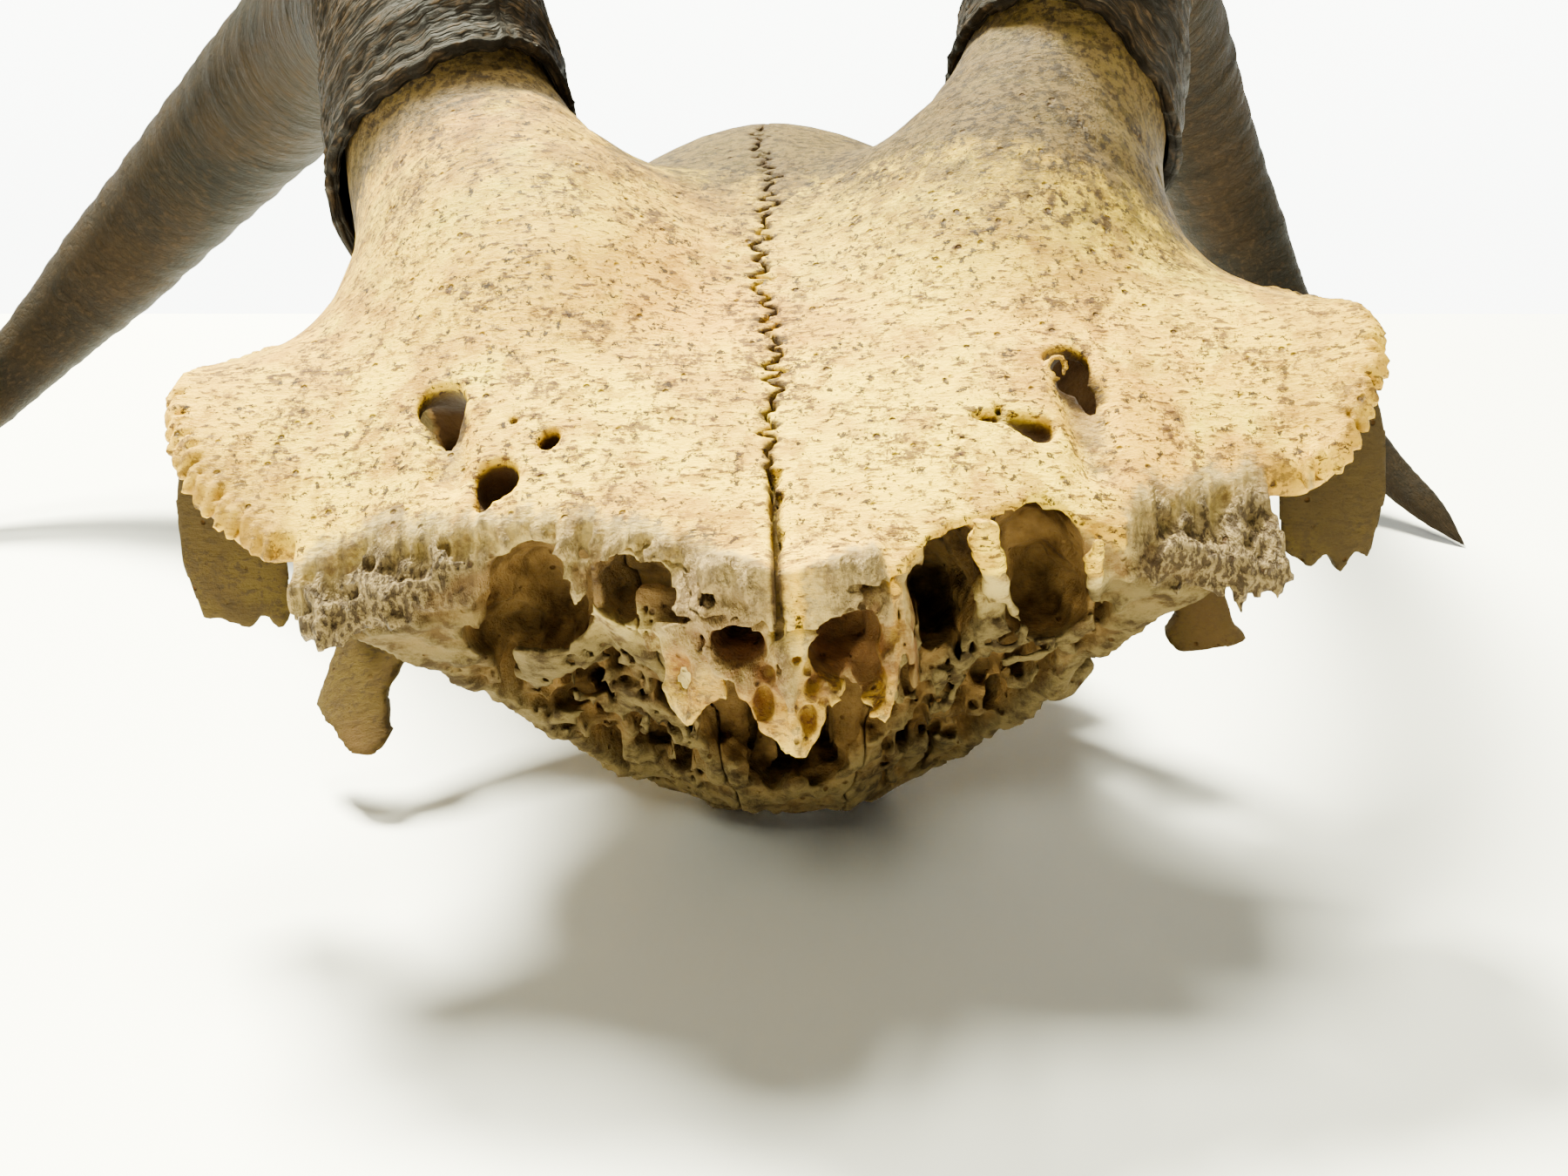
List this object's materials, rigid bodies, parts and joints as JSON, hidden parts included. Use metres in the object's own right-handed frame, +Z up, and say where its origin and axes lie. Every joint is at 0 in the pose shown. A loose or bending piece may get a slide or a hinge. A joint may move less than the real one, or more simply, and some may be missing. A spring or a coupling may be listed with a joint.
{
  "type": "goat skull",
  "caption": "Goat braincase with long ringed horns curving back and down, the face broken away at the sutures so that open sinuses show below the forehead.",
  "frame": {"origin": "centre of the bounding box's bottom, on the surface that the skull rests on", "axes": "+X to the animal's left, +Y backwards from the broken face to the back of the head, +Z up from the surface"},
  "size_m": [0.3329, 0.2311, 0.1456],
  "materials": {
    "bone": "dry old bone, matt, cream with brown stains",
    "horn": "weathered horn, dark brown, ringed and flaking"
  },
  "bodies": {
    "root": {"frontal_left": "bone", "frontal_right": "bone", "ethmoid": "bone", "sphenoid": "bone", "parietal": "bone", "occipital": "bone", "temporal_left": "bone", "temporal_right": "bone", "horn_sheath_left": "horn", "horn_sheath_right": "horn"}
  },
  "joints": []
}
